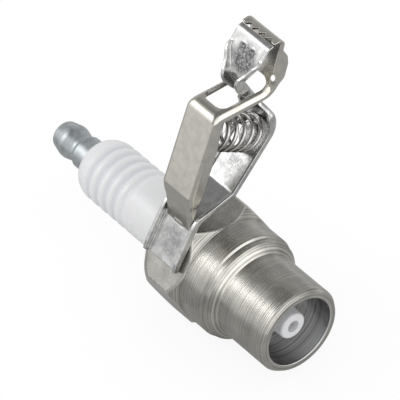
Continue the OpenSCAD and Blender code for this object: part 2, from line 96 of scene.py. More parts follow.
def add_camera():
    a, e = CAMERA_AZIMUTH, CAMERA_ELEVATION
    right = Vector((math.cos(a), math.sin(a), 0))
    back = Vector((math.sin(a) * math.cos(e), -math.cos(a) * math.cos(e), math.sin(e)))
    up = back.cross(right)
    aim = (Vector((MOUTH, 0, AXIS_Z)) - AIM_LEFT * right + AIM_UP * up) * MM
    data = bpy.data.cameras.new("camera")
    data.sensor_width = 36
    data.lens = CAMERA_LENS
    data.clip_start = 0.01
    camera = bpy.data.objects.new("camera", data)
    turn = Matrix((right, up, back)).transposed().to_4x4()
    camera.matrix_world = Matrix.Translation(aim + CAMERA_DISTANCE * back) @ turn
    bpy.context.scene.collection.objects.link(camera)
    bpy.context.scene.camera = camera


add_camera()


# Outlines


def direction(degrees):
    return Vector((math.cos(math.radians(degrees)), math.sin(math.radians(degrees))))


def left(v):
    return Vector((-v.y, v.x))


def bent(corners, radii, steps=10):
    """The line through the corners, each rounded to its radius."""
    points = [Vector(c) for c in corners]
    line = [points[0]]
    for before, p, after, radius in zip(points, points[1:], points[2:], radii[1:]):
        a, b = (p - before).normalized(), (after - p).normalized()
        turn = math.atan2(a.x * b.y - a.y * b.x, a.dot(b))
        side = math.copysign(1, turn)
        start = math.atan2(a.y, a.x)
        centre = p - a * radius * math.tan(abs(turn) / 2) + side * radius * left(a)
        for k in range(steps + 1):
            angle = start + turn * k / steps
            line.append(centre - side * radius * left(Vector((math.cos(angle), math.sin(angle)))))
    return line + [points[-1]]


def split(line, step):
    """The line with its long stretches divided."""
    out = []
    for p, q in zip(line, line[1:]):
        n = max(1, math.ceil((q - p).length / step))
        out += [p.lerp(q, k / n) for k in range(n)]
    return out + [line[-1]]


def table(rows, y):
    """The value at y of a table of [y, value], straight between its rows."""
    if y <= rows[0][0]:
        return rows[0][1]
    for (y0, v0), (y1, v1) in zip(rows, rows[1:]):
        if y <= y1:
            return v0 + (v1 - v0) * (y - y0) / (y1 - y0)
    return rows[-1][1]


# Meshes


def new_object(name, verts, faces, place=Matrix.Identity(4)):
    """An object from points in millimetres, moved to its place in the frame."""
    mesh = bpy.data.meshes.new(name)
    mesh.from_pydata([tuple(v) for v in verts], [], faces)
    b = bmesh.new()
    b.from_mesh(mesh)
    bmesh.ops.recalc_face_normals(b, faces=b.faces)
    b.to_mesh(mesh)
    b.free()
    obj = bpy.data.objects.new(name, mesh)
    bpy.context.scene.collection.objects.link(obj)
    mesh.transform(Matrix.Scale(MM, 4) @ place)
    return obj


def bake_modifiers(obj):
    """Puts the result of an object's modifiers into its mesh."""
    bpy.context.view_layer.update()
    evaluated = obj.evaluated_get(bpy.context.evaluated_depsgraph_get())
    mesh = bpy.data.meshes.new_from_object(evaluated)
    obj.modifiers.clear()
    obj.data = mesh


def smooth(obj, angle=None):
    obj.data.polygons.foreach_set("use_smooth", [True] * len(obj.data.polygons))
    if angle is not None:
        obj.data.set_sharp_from_angle(angle=math.radians(angle))


def tube_faces(rows, columns, closed_rows=False):
    """Quads between rows of points, each row a closed ring."""
    faces = []
    for i in range(rows if closed_rows else rows - 1):
        a, b = i * columns, (i + 1) % rows * columns
        for k in range(columns):
            k2 = (k + 1) % columns
            faces.append((a + k, a + k2, b + k2, b + k))
    return faces


def lathe(name, profile, segments, limit=None):
    """Turns a closed profile of (x, r) about the plug's axis.

    limit(x, r, angle), where it is given, is the real radius.
    """
    verts = []
    for p in profile:
        for k in range(segments):
            angle = 2 * math.pi * k / segments
            r = p.y if limit is None else limit(p.x, p.y, angle)
            verts.append((p.x, r * math.sin(angle), AXIS_Z + r * math.cos(angle)))
    return new_object(name, verts, tube_faces(len(profile), segments, closed_rows=True))


def closed(corners, radii, step, arcs=5):
    """A closed outline with rounded corners, for lathe."""
    points = [Vector(c) for c in corners]
    start = (points[-1] + points[0]) / 2
    line = bent([start] + points + [start], [0] + list(radii) + [0], arcs)
    return split(line, step)[:-1]


# The shell


HEX_CORNER_R = 11.75
HEX_SOFTNESS = 0.05


def hexagon(x, r, angle):
    """The radius where the hexagon's flats cut the turned shape, with a softened edge."""
    if abs(x) > HEX_HALF + 0.01 or r <= FLAT_Z - 0.3:
        return r
    sixth = math.pi / 3
    off = (angle + sixth / 2) % sixth - sixth / 2
    flat = FLAT_Z / math.cos(off)
    return -HEX_SOFTNESS * math.log(math.exp(-r / HEX_SOFTNESS) + math.exp(-flat / HEX_SOFTNESS))


def add_shell():
    # Each corner of the outline, as (x, r), with its rounding
    corners = [
        # The crimped lip, the shoulder and the hexagon
        ((CRIMP_REAR, CRIMP_R), 0.1), ((CRIMP_REAR, 7.1), 0.45),
        ((SHOULDER_REAR - 0.1, 8.05), 0.3), ((SHOULDER_REAR, 9.0), 0.3),
        ((-HEX_HALF, 10.3), 0.1), ((-HEX_HALF + 2.6, HEX_CORNER_R), 0.4),
        ((HEX_HALF - 2.3, HEX_CORNER_R), 0.4), ((HEX_HALF, BARREL_R), 0.12),
        # The barrel, the tapered seat and the nose
        ((BARREL_END, BARREL_R), 0.15), ((BARREL_END + 0.25, SEAT_R), 0.1),
        ((SEAT_REAR, SEAT_R), 0.12), ((NOSE_REAR, NOSE_R), 0.1),
        ((MOUTH - 0.75, NOSE_R), 0.06), ((MOUTH, NOSE_R - 0.5), 0.08),
        # The open mouth, the step that the insulator sits on, and the room behind it
        ((MOUTH, BORE_R), 0.12), ((MOUTH - BORE_DEPTH, BORE_R), 0.4),
        ((STEP_FRONT, 4.4), 0.15), ((STEP_REAR, 4.4), 0.1), ((6.47, INSIDE_R), 0.1),
        ((SHOULDER_REAR, INSIDE_R), 0.1), ((CRIMP_REAR + 0.4, CRIMP_R), 0.05),
    ]
    profile = closed([c for c, r in corners], [r for c, r in corners], step=0.2)
    shell = lathe("shell_body", profile, segments=360, limit=hexagon)
    smooth(shell)
    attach(shell, "plug")
    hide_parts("shell")
    return shell


# The insulator and the terminal nut


CERAMIC_R = 5.85
CERAMIC_WIDE_R = 7.0
TIP_FACE_R = 2.1
TIP_EDGE = 0.45
WIRE_HOLE_R = 1.15
STUD_HOLE_R = 2.1
PLAIN_START = -7.0
GROOVES = [-17.35 - 2.33 * k for k in range(5)]
GROOVE_HALF = 1.0
GROOVE_DEPTH = 0.38
FIRST_GROOVE_DEPTH = 0.2
RIBS_MIDDLE = -17.5
RIBS_HALF = 9.6
DOME_START = -26.9
DOME_END_R = 3.25
PROFILE_STEP = 0.12
NUT_END = -40.87


def ribbed_radius(x):
    """The insulator's radius outside the shell: its rounded end, less the groove at x."""
    rise = max(0, (DOME_START - x) / (DOME_START - TOP))
    radius = DOME_END_R + (CERAMIC_R - DOME_END_R) * (1 - rise * rise) ** 0.56
    for groove in GROOVES:
        off = abs(x - groove)
        if off < GROOVE_HALF:
            # The groove next to the shell is the faintest
            depth = FIRST_GROOVE_DEPTH if groove == GROOVES[0] else GROOVE_DEPTH
            radius -= depth * (0.5 + 0.5 * math.cos(math.pi * off)) ** 1.1
    return radius


def add_insulator():
    line = [Vector((TIP, WIRE_HOLE_R)), Vector((TIP, TIP_FACE_R))]
    edge = Vector((TIP - TIP_EDGE, TIP_FACE_R))
    line += [edge + TIP_EDGE * direction(a) for a in range(15, 91, 15)]
    line += [Vector(p) for p in ((STEP_FRONT, 3.5), (STEP_REAR, 4.2), (5.97, CERAMIC_WIDE_R),
                                 (-0.03, CERAMIC_WIDE_R), (-1.03, CERAMIC_R))]
    x = PLAIN_START
    while x > TOP:
        line.append(Vector((x, ribbed_radius(x))))
        x -= PROFILE_STEP
    line += [Vector(p) for p in ((TOP, DOME_END_R), (TOP, STUD_HOLE_R), (-10.0, STUD_HOLE_R),
                                 (4.0, STUD_HOLE_R), (4.95, WIRE_HOLE_R))]
    insulator = lathe("insulator_body", split(line, 2), segments=144)
    smooth(insulator, 50)
    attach(insulator, "plug")
    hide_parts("insulator")
    return insulator


def add_terminal_nut():
    bore, head, waist, middle = 2.06, 3.175, 2.7, 0.3
    corners = [
        # The foot that stands on the insulator, the snap groove and the head
        ((TOP, bore), 0.05), ((TOP, 3.1), 0.2), ((-34.25, 3.12), 0.3),
        ((-34.9, waist), 0.35), ((-35.5, waist), 0.6),
        ((-37.4, head), 1.2), ((-38.1, head), 1.2), ((NUT_END, 2.5), 0.95),
        # The closed end, and the threaded bore behind it
        ((NUT_END, middle), 0.05), ((NUT_END + 0.2, middle), 0.02), ((NUT_END + 1.5, middle), 0.1),
        ((NUT_END + 1.5, bore), 0.05),
    ]
    profile = closed([c for c, r in corners], [r for c, r in corners], step=0.5, arcs=8)
    # The outline runs a hair from the axis there, so that nothing is open
    for p in profile:
        p.y = 0.004 if p.y < middle + 0.01 else p.y
    nut = lathe("terminal_nut_body", profile, segments=96)
    smooth(nut, 50)
    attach(nut, "nut")
    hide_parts("terminal_nut")
    return nut


# The clip's levers


FLANGE_ARC = 5


def sheet_metal(line, side, half_width, depth, bend):
    """The closed surface of a sheet along a line, with a flange bent down each edge."""
    verts = []
    for i, p in enumerate(line):
        a = (p - line[max(i - 1, 0)]).normalized() if i else (line[1] - p).normalized()
        b = (line[min(i + 1, len(line) - 1)] - p).normalized() if i < len(line) - 1 else a
        normal = side * left((a + b).normalized())
        h = half_width(p.x)
        d = max(depth(p.x), SHEET + 0.02)
        r = min(bend(p.x), d)
        inner_bend = max(0.12, bend(p.x) - SHEET)
        outer = [(h, d)]
        for k in range(FLANGE_ARC + 1):
            t = math.pi / 2 * k / FLANGE_ARC
            outer.append((h - r + r * math.cos(t), r - r * math.sin(t)))
        inner = [(h - SHEET, d)]
        for k in range(FLANGE_ARC + 1):
            t = math.pi / 2 * k / FLANGE_ARC
            inner.append((h - SHEET - inner_bend * (1 - math.cos(t)),
                          min(d, SHEET + inner_bend * (1 - math.sin(t)))))
        ring = outer + [(-x, z) for x, z in reversed(outer)]
        ring += [(-x, z) for x, z in inner] + list(reversed(inner))
        verts += [Vector((x, p.x, p.y)) + z * Vector((0, normal.x, normal.y)) for x, z in ring]
    n = len(verts) // len(line)
    faces = tube_faces(len(line), n)
    half = n // 2
    # Each end is closed by strips between the outer and the inner line
    for start in (0, (len(line) - 1) * n):
        for k in range(half - 1):
            faces.append((start + k, start + k + 1, start + n - 2 - k, start + n - 1 - k))
    return verts, faces


def box(name, x, y, z):
    verts = [(i, j, k) for i in x for j in y for k in z]
    faces = [(0, 1, 3, 2), (4, 6, 7, 5), (0, 4, 5, 1), (2, 3, 7, 6), (0, 2, 6, 4), (1, 5, 7, 3)]
    return new_object(name, verts, faces)


def prism(name, outline, low, high, turn=Matrix.Identity(4)):
    """A plan outline (x, y) raised from low to high, then turned."""
    n = len(outline)
    verts = [(p[0], p[1], low) for p in outline] + [(p[0], p[1], high) for p in outline]
    faces = [tuple(range(n)), tuple(range(2 * n - 1, n - 1, -1))]
    faces += [(k, (k + 1) % n, n + (k + 1) % n, n + k) for k in range(n)]
    return new_object(name, verts, faces, turn)


def rounded_rect(w, y0, y1, r):
    """The plan outline of a window w wide from y0 to y1, with corners of radius r."""
    outline = []
    side = w / 2 - r
    corners = ((side, y1 - r, 0), (-side, y1 - r, 90), (-side, y0 + r, 180), (side, y0 + r, 270))
    for cx, cy, start in corners:
        outline += [Vector((cx, cy)) + r * direction(start + 90 * k / 8) for k in range(9)]
    return outline


def oval(half_x, half_y):
    return [(half_x * direction(15 * k).x, half_y * direction(15 * k).y) for k in range(24)]


VOXEL = 0.1


def press(name, verts, faces, steps, shape=None):
    """Cuts and joins a lever, rounds its edges a little and puts it in its place.

    It works at a thousand times the lever's size, where Blender's tools keep fine detail.
    """
    obj = new_object(name, verts, faces)
    for operation, tool in steps:
        modifier = obj.modifiers.new(operation, "BOOLEAN")
        modifier.operation = operation
        modifier.solver = "EXACT"
        modifier.object = tool
    for each in [obj] + [tool for operation, tool in steps]:
        each.data.transform(Matrix.Scale(1 / MM, 4))
    remesh = obj.modifiers.new("remesh", "REMESH")
    remesh.mode = "VOXEL"
    remesh.voxel_size = VOXEL
    soften = obj.modifiers.new("soften", "SMOOTH")
    soften.factor = 0.5
    soften.iterations = 3
    bake_modifiers(obj)
    for operation, tool in steps:
        bpy.data.objects.remove(tool)
    if shape is not None:
        for v in obj.data.vertices:
            v.co += shape(v.co)
    reduce = obj.modifiers.new("reduce", "DECIMATE")
    reduce.ratio = 0.35
    bake_modifiers(obj)
    obj.data.transform(Matrix.Scale(MM, 4) @ CLIP_PLACE)
    smooth(obj)
    return obj


# Each lever is a bent line of corners (y, z), with tables by y of its half width, of how deep its
# flanges are, and of how round they are bent.
# The fixed one: its welded base, the slope up from it, the floor under the spring, the neck
# and the jaw
FLOOR_REAR = (13.9, FLAT_Z - 5.57)
FLOOR_FRONT = (28.7, FLAT_Z - 8.46)
FIXED_LINE = bent([(-1.2, FLAT_Z), (8.3, FLAT_Z), FLOOR_REAR, FLOOR_FRONT, (35, FLAT_Z + 2.25),
                   (38.8, FLAT_Z + 2.8), (42.25, FLAT_Z + 2.4), (42.7, FLAT_Z + 1.9)],
                  [0, 1, 2, 4.6, 1.2, 9, 0.7, 0])
FIXED_WIDTH = [(30.3, 4.25), (31.0, 3.7), (31.6, 2.1), (35.2, 2.1), (39.0, 4.2), (43, 4.2)]
FIXED_DEPTH = [(-1.2, 1.5), (0.4, 1.8), (7.4, 1.8), (9.5, 1.5), (25, 1.5), (28, 1.8),
               (30.2, 1.8), (31.0, 0.9), (32.0, 1.0), (33.5, 1.9), (35.2, 2.5), (36.8, 1.8),
               (38.4, 1.5), (39.9, 0.7)]
FLANGE_BEND = 0.85
# The moving one: its foot, the plate that is pressed, the frame, the web of the jaw and its lip
FOOT_LENGTH = 8.98
FOOT_ANGLE = 34.6
PLATE_REAR = (12.6, FLAT_Z + 5.1)
PLATE_FRONT = (28.8, FLAT_Z + 7.85)
WEB_REAR = (34.5, FLAT_Z - 1.95)
WEB_FRONT = (41.4, FLAT_Z + 0.05)
LIP_FOOT = (44, FLAT_Z + 0.75)
LIP_LENGTH = 1.65
LIP_ANGLE = 125
LIP_END = Vector(LIP_FOOT) + LIP_LENGTH * direction(LIP_ANGLE)
FOOT_END = Vector(PLATE_REAR) - FOOT_LENGTH * direction(FOOT_ANGLE)
MOVING_LINE = bent([FOOT_END, PLATE_REAR, PLATE_FRONT, WEB_REAR, WEB_FRONT, LIP_FOOT, LIP_END],
                   [0, 1, 2.4, 1.6, 5, 0.5, 0])
MOVING_WIDTH = [(10.2, 3.43), (11.2, 3.8), (35.3, 3.8), (36.6, 4.25), (43, 4.25)]
MOVING_DEPTH = [(7.5, 0.7), (8.5, 0.9), (10.5, 2.1), (12.6, 2.8), (22, 2.8), (26, 2.2),
                (28, 1.9), (34, 1.5), (35.5, 1.9), (37, 2.5), (39.5, 2.6), (41, 2.1),
                (41.9, 1.3), (42.3, 0.72)]
MOVING_BEND = [(27.8, FLANGE_BEND), (29.5, 1.4), (35, 1.4), (36.5, FLANGE_BEND)]
LINE_STEP = 0.4
# The moving lever's foot stands just clear of the fixed one's base, where its tongue has a slot
FOOT_Z = FLAT_Z + SHEET + 0.05
TONGUE = (6.6, 7.3)
TONGUE_HALF = 1
SLOT_HALF = 1.12
# The window in the frame, and the part of it that goes on round the bend into the web
WINDOW_WIDTH = 5.3
WINDOW = (2.0, 13)
WEB_WINDOW = (-1.6, 1.9)
TOOTH_NOTCHES = 4
TOOTH_SPREAD = 8.5
TOOTH_SIZE = 0.78
# The small hole at the foot of each of the jaw's sides: its place, half sizes and direction
HOLE_PLACE = (3.8, 37.05, FLAT_Z - 1.41)
HOLE_HALF = (0.55, 0.37)
HOLE_DIRECTION = (0.583, 0.324, 0.745)


# The relief pressed into the fixed jaw: where its two pips and its ridges are
PIPS_X = (-1.2, 1.2)
PIPS_Y = 40.3
RIDGE_START = 35.9
RIDGE_LENGTH = 2.4


def jaw_relief(p):
    """The fixed jaw's two pips, the ridge down its middle and the two that spread from it."""
    out = Vector((0, 0, 0))
    if p.z < FLAT_Z + 2.75 or not 35 < p.y < 42.2:
        return out
    for x in PIPS_X:
        off = math.hypot(p.x - x, p.y - PIPS_Y)
        out.z += 0.4 * math.exp(-(off / 0.45) ** 2)
    along = p.y - RIDGE_START
    if 0 < along < RIDGE_LENGTH:
        swell = math.sin(math.pi * along / RIDGE_LENGTH)
        spread = abs(abs(p.x) - 0.35 - 0.55 * along)
        out.z += 0.2 * math.exp(-(abs(p.x) / 0.2) ** 2) * swell
        out.z += 0.16 * math.exp(-(spread / 0.2) ** 2) * swell
    return out


SPRING_SEAT_R = 1.8
SPRING_SEAT_HIGH = 0.8


def spring_seat(name, z, turn):
    """The low boss that keeps the spring's end in its place."""
    outline = [SPRING_SEAT_R * direction(15 * k) for k in range(24)]
    place = Matrix.Translation((0, SPRING_Y, z)) @ Matrix.Rotation(turn, 4, "X")
    return prism(name, outline, -SHEET / 2, SPRING_SEAT_HIGH, place)


def slope(start, end):
    return math.atan2(end[1] - start[1], end[0] - start[0])


PLATE_SLOPE = slope(PLATE_REAR, PLATE_FRONT)
FLOOR_SLOPE = slope(FLOOR_REAR, FLOOR_FRONT)


def plate_inside(y):
    """The height of the moving lever's inner face over y."""
    rise = math.tan(PLATE_SLOPE) * (y - PLATE_REAR[0])
    return PLATE_REAR[1] + rise - SHEET / math.cos(PLATE_SLOPE)


def floor_inside(y):
    """The height of the fixed lever's inner face over y."""
    rise = math.tan(FLOOR_SLOPE) * (y - FLOOR_REAR[0])
    return FLOOR_REAR[1] + rise + SHEET / math.cos(FLOOR_SLOPE)


def add_fixed_lever():
    verts, faces = sheet_metal(split(FIXED_LINE, LINE_STEP), 1, lambda y: table(FIXED_WIDTH, y),
                               lambda y: table(FIXED_DEPTH, y), lambda y: FLANGE_BEND)
    slot = box("slot", (-SLOT_HALF, SLOT_HALF), (TONGUE[0] - 0.45, TONGUE[1] + 0.15),
               (FLAT_Z - 1, FLAT_Z + 2))
    seat = spring_seat("seat", floor_inside(SPRING_Y), FLOOR_SLOPE)
    steps = [("DIFFERENCE", slot), ("UNION", seat)]
    lever = press("fixed_lever_sheet", verts, faces, steps, jaw_relief)
    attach(lever, "plug")
    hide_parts("fixed_lever")
    return lever


def add_moving_lever():
    verts, faces = sheet_metal(split(MOVING_LINE, LINE_STEP), -1, lambda y: table(MOVING_WIDTH, y),
                               lambda y: table(MOVING_DEPTH, y), lambda y: table(MOVING_BEND, y))

    def along(start, end):
        return Matrix.Translation((0, *start)) @ Matrix.Rotation(slope(start, end), 4, "X")

    window = prism("window", rounded_rect(WINDOW_WIDTH, *WINDOW, 1.5), -2.3, 0.9,
                   along(PLATE_FRONT, WEB_REAR))
    opening = prism("opening", rounded_rect(WINDOW_WIDTH, *WEB_WINDOW, 1.2), -1.5, 1.5,
                    along(WEB_REAR, WEB_FRONT))
    under = box("under", (-10, 10), (0, 12), (FLAT_Z - 20, FOOT_Z))
    tongue = box("tongue", (-TONGUE_HALF, TONGUE_HALF), TONGUE, (FLAT_Z - 0.15, FOOT_Z + 0.5))
    seat = spring_seat("seat", plate_inside(SPRING_Y), math.pi + PLATE_SLOPE)
    # The notches between the teeth: diamonds that lie across the lip, turned on end to cut its edge
    teeth = []
    across = Matrix.Rotation(math.radians(LIP_ANGLE - 90), 4, "X")
    on_end = Matrix.Rotation(math.radians(90), 4, "X")
    for i in range(1, TOOTH_NOTCHES + 1):
        x = (i / (TOOTH_NOTCHES + 1) - 0.5) * TOOTH_SPREAD
        place = Matrix.Translation((x, *LIP_END)) @ across
        diamond = [TOOTH_SIZE * direction(90 * k) for k in range(4)]
        teeth.append(prism("tooth", diamond, -1.5, 1.5, place @ on_end))
    holes = []
    for side in (-1, 1):
        mirror = Vector((side, 1, 1))
        place = Matrix.Translation(mirror * Vector(HOLE_PLACE))
        turn = (mirror * Vector(HOLE_DIRECTION)).to_track_quat("Z", "Y").to_matrix().to_4x4()
        holes.append(prism("hole", oval(*HOLE_HALF), -2, 2, place @ turn))
    steps = [("DIFFERENCE", cut) for cut in [window, opening, under] + holes + teeth]
    lever = press("moving_lever_sheet", verts, faces, steps + [("UNION", tongue), ("UNION", seat)])
    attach(lever, "lever")
    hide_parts("moving_lever")
    return lever


# The spring


WIRE_R = 0.39
WIRE_CLEARANCE = 0.05
# By the number of turns: the end coil is closer, to go round the seat
COIL_R = [(1, 2.6), (1.7, 3.1)]
COIL_TURNS = 6.5
COIL_STEPS = 48
WIRE_SIDES = 14


def add_spring():
    """One wire wound as a helix whose ends lie against the two levers."""
    centre = []
    count = int(COIL_TURNS * COIL_STEPS)
    for i in range(count + 1):
        s = i / count
        turns = COIL_TURNS * s
        angle = 2 * math.pi * turns
        r = table(COIL_R, turns)
        y = SPRING_Y + r * math.sin(angle)
        high = plate_inside(y) - WIRE_R - WIRE_CLEARANCE
        low = floor_inside(y) + WIRE_R + WIRE_CLEARANCE
        centre.append(Vector((r * math.cos(angle), y, high + (low - high) * s)))
    verts = []
    for i, p in enumerate(centre):
        t = (centre[min(i + 1, count)] - centre[max(i - 1, 0)]).normalized()
        u = t.cross(Vector((0, 0, 1))).normalized()
        v = t.cross(u)
        for k in range(WIRE_SIDES):
            a = 2 * math.pi * k / WIRE_SIDES
            verts.append(p + WIRE_R * (math.cos(a) * u + math.sin(a) * v))
    faces = tube_faces(len(centre), WIRE_SIDES)
    faces += [tuple(range(WIRE_SIDES)), tuple(len(verts) - 1 - k for k in range(WIRE_SIDES))]
    spring = new_object("clip_spring_wire", verts, faces, CLIP_PLACE)
    smooth(spring, 60)
    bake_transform(spring)
    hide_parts("clip_spring")
    return spring


# Materials


class Shader:
    """A material's node tree with short calls for the nodes that these materials use."""

    def __init__(self, name):
        self.material = bpy.data.materials.new(name)
        self.material.use_nodes = True
        self.nodes = self.material.node_tree.nodes
        self.links = self.material.node_tree.links
        self.surface = self.nodes["Principled BSDF"]
        self.places = self.nodes.new("ShaderNodeTexCoord").outputs["Object"]

    def link(self, value, socket):
        if isinstance(value, bpy.types.NodeSocket):
            self.links.new(value, socket)
        else:
            socket.default_value = value

    def math(self, operation, *values):
        node = self.nodes.new("ShaderNodeMath")
        node.operation = operation
        for value, socket in zip(values, node.inputs):
            self.link(value, socket)
        return node.outputs[0]

    def moved(self, turn=(0, 0, 0), scale=(1, 1, 1)):
        node = self.nodes.new("ShaderNodeMapping")
        self.links.new(self.places, node.inputs["Vector"])
        node.inputs["Rotation"].default_value = turn
        node.inputs["Scale"].default_value = scale
        return node.outputs[0]

    def times(self, a, b):
        return self.math("MULTIPLY", a, b)

    def plus(self, a, b):
        return self.math("ADD", a, b)

    def noise(self, place, scale, detail=3, rough=0.5, line=False):
        """Noise in space, or along a line where place is one number."""
        node = self.nodes.new("ShaderNodeTexNoise")
        if line:
            node.noise_dimensions = "1D"
        self.links.new(place, node.inputs["W" if line else "Vector"])
        node.inputs["Scale"].default_value = scale
        node.inputs["Detail"].default_value = detail
        node.inputs["Roughness"].default_value = rough
        return node.outputs["Fac"]

    def span(self, value, low, high, out_low=0, out_high=1):
        """The value's range from low to high, spread over the other range and cut off there."""
        node = self.nodes.new("ShaderNodeMapRange")
        for number, socket in zip((value, low, high, out_low, out_high), node.inputs):
            self.link(number, socket)
        return node.outputs[0]

    def mix(self, factor, a, b):
        node = self.nodes.new("ShaderNodeMix")
        node.data_type = "RGBA"
        self.link(factor, node.inputs["Factor"])
        self.link(a, node.inputs["A"])
        self.link(b, node.inputs["B"])
        return node.outputs["Result"]

    def along_and_out(self):
        """The place along the plug's axis, and the distance from it."""
        parts = self.nodes.new("ShaderNodeSeparateXYZ")
        self.links.new(self.places, parts.inputs[0])
        x, y, z = parts.outputs
        up = self.math("SUBTRACT", z, AXIS_Z * MM)
        return x, self.math("SQRT", self.plus(self.times(y, y), self.times(up, up)))

    def across_flats(self):
        """How far out a point is in the direction of the hexagon's nearest flat."""
        far = 0
        for k in range(3):
            turn = k * math.pi / 3
            node = self.nodes.new("ShaderNodeVectorMath")
            node.operation = "DOT_PRODUCT"
            self.links.new(self.places, node.inputs[0])
            node.inputs[1].default_value = (0, math.sin(turn), math.cos(turn))
            out = self.math("SUBTRACT", node.outputs["Value"], AXIS_Z * MM * math.cos(turn))
            far = self.math("MAXIMUM", far, self.math("ABSOLUTE", out))
        return far

    def near(self, place, inner, outer, most):
        """The most within inner of a place, 0 beyond outer, in millimetres."""
        node = self.nodes.new("ShaderNodeVectorMath")
        node.operation = "DISTANCE"
        self.links.new(self.places, node.inputs[0])
        node.inputs[1].default_value = place * MM
        return self.span(node.outputs["Value"], outer * MM, inner * MM, 0, most)

    def bump(self, height, strength, distance):
        node = self.nodes.new("ShaderNodeBump")
        node.inputs["Strength"].default_value = strength
        node.inputs["Distance"].default_value = distance
        self.links.new(height, node.inputs["Height"])
        self.links.new(node.outputs[0], self.surface.inputs["Normal"])

    def set(self, **values):
        for name, value in values.items():
            self.link(value, self.surface.inputs[name.replace("_", " ").title()])


def grey(value, warmth=0.0):
    return (value * (1 + warmth), value, value * (1 - 1.6 * warmth), 1)


# Colours, each as its dark and its light tone
STEEL = ((0.27, 0.263, 0.241, 1), (0.6, 0.585, 0.542, 1))
# A painted highlight for the hexagon's edges, one tone
EDGE_PAINTED_HIGHLIGHT = (0.9, 0.88, 0.83, 1)
# Painted light for the bore: a lighter steel, in two tones for its turning marks
BORE_PAINTED_LIGHT = ((0.5, 0.5, 0.5, 1), (0.95, 0.95, 0.955, 1))
BRIGHT_SHEET = ((0.46, 0.46, 0.46, 1), (0.63, 0.63, 0.62, 1))
SATIN_SHEET = ((0.54, 0.52, 0.475, 1), (0.60, 0.58, 0.53, 1))
# The tone of the darker, duller patches on the fixed lever, and of the painted shade under its
# spring
DARK_PATCH_TONE = (0.15, 0.15, 0.155, 1)
ZINC = ((0.47, 0.505, 0.52, 1), (0.62, 0.66, 0.675, 1))
GLAZE = ((0.88, 0.885, 0.897, 1), (0.915, 0.92, 0.93, 1))
# Painted shade for the insulator's grooves
GROOVE_PAINTED_SHADE = (0.77, 0.79, 0.835, 1)
COPPER = ((0.42, 0.2, 0.12, 1), (0.6, 0.32, 0.2, 1))
SEAL_GLASS = ((0.05, 0.025, 0.015, 1), (0.12, 0.07, 0.04, 1))

# Where the fixed lever is darker and duller, as (place in the clip, inner and outer radius, how
# much):
# its jaw and its welded base, and painted shade on its floor under the spring
DARK_PATCHES_AND_SHADE = [((0.2, 38.7, FLAT_Z + 2.8), 1.9, 3.3, 1.0), ((0.2, 2.8, FLAT_Z + 0.7), 2.0, 3.5, 0.5),
          ((0.6, 18.5, FLAT_Z - 5.8), 0.6, 4.2, 0.55)]


def turned_steel():
    """Nickel-plated steel with the fine rings that a lathe leaves."""
    s = Shader("turned_steel")
    x, r = s.along_and_out()
    from_middle = s.math("ABSOLUTE", x)
    across = s.across_flats()
    # Rings lie across the axis, and on a flat end round it
    along = s.plus(x, s.times(r, 0.37))
    fine = s.noise(along, 6500, 3, 0.6, line=True)
    broad = s.noise(along, 1900, 3, 0.6, line=True)
    rings = s.plus(s.times(fine, 0.84), s.times(broad, 0.16))
    # The hexagon's flats are drawn, not turned
    turned = s.math("MAXIMUM", s.math("GREATER_THAN", from_middle, (HEX_HALF + 0.02) * MM),
                    s.math("LESS_THAN", across, (FLAT_Z - 0.08) * MM))
    grain = s.span(s.noise(s.places, 4200, 4, 0.65), 0, 1, 0.28, 0.72)
    texture = s.plus(s.times(turned, rings), s.times(s.math("SUBTRACT", 1.0, turned), grain))
    patches = s.noise(s.places, 300, 5)
    tone = s.plus(s.times(texture, 0.74), s.times(patches, 0.26))
    steel = s.mix(s.span(tone, 0.39, 0.61), *STEEL)
    # A painted highlight: a bright line where the turned cones meet the flats
    edge_highlight = s.times(s.span(across, (FLAT_Z - 0.3) * MM, (FLAT_Z - 0.12) * MM),
                  s.span(across, (FLAT_Z - 0.05) * MM, (FLAT_Z - 0.02) * MM, 1, 0))
    edge_highlight = s.times(edge_highlight, s.math("LESS_THAN", from_middle, (HEX_HALF - 0.1) * MM))
    steel = s.mix(s.times(edge_highlight, 0.5), steel, EDGE_PAINTED_HIGHLIGHT)
    # The mouth's bore: a lighter steel, painted light that stands in for the light bounced about
    # inside it, with its turning marks
    bore = s.times(s.math("GREATER_THAN", x, (MOUTH - BORE_DEPTH - 0.35) * MM),
                   s.math("LESS_THAN", r, (BORE_R + 0.1) * MM))
    marks = s.span(s.noise(along, 2300, 4, 0.7, line=True), 0.36, 0.64)
    s.set(
        base_color=s.mix(bore, steel, s.mix(marks, *BORE_PAINTED_LIGHT)),
        metallic=1.0,
        anisotropic=0.25,
        roughness=s.plus(s.span(patches, 0.3, 0.7, 0.16, 0.22),
                         s.times(s.plus(texture, bore), 0.08)),
    )
    tangent = s.nodes.new("ShaderNodeTangent")
    tangent.direction_type = "RADIAL"
    tangent.axis = "X"
    s.links.new(tangent.outputs[0], s.surface.inputs["Tangent"])
    s.bump(texture, 0.7, 0.00005)
    return s.material


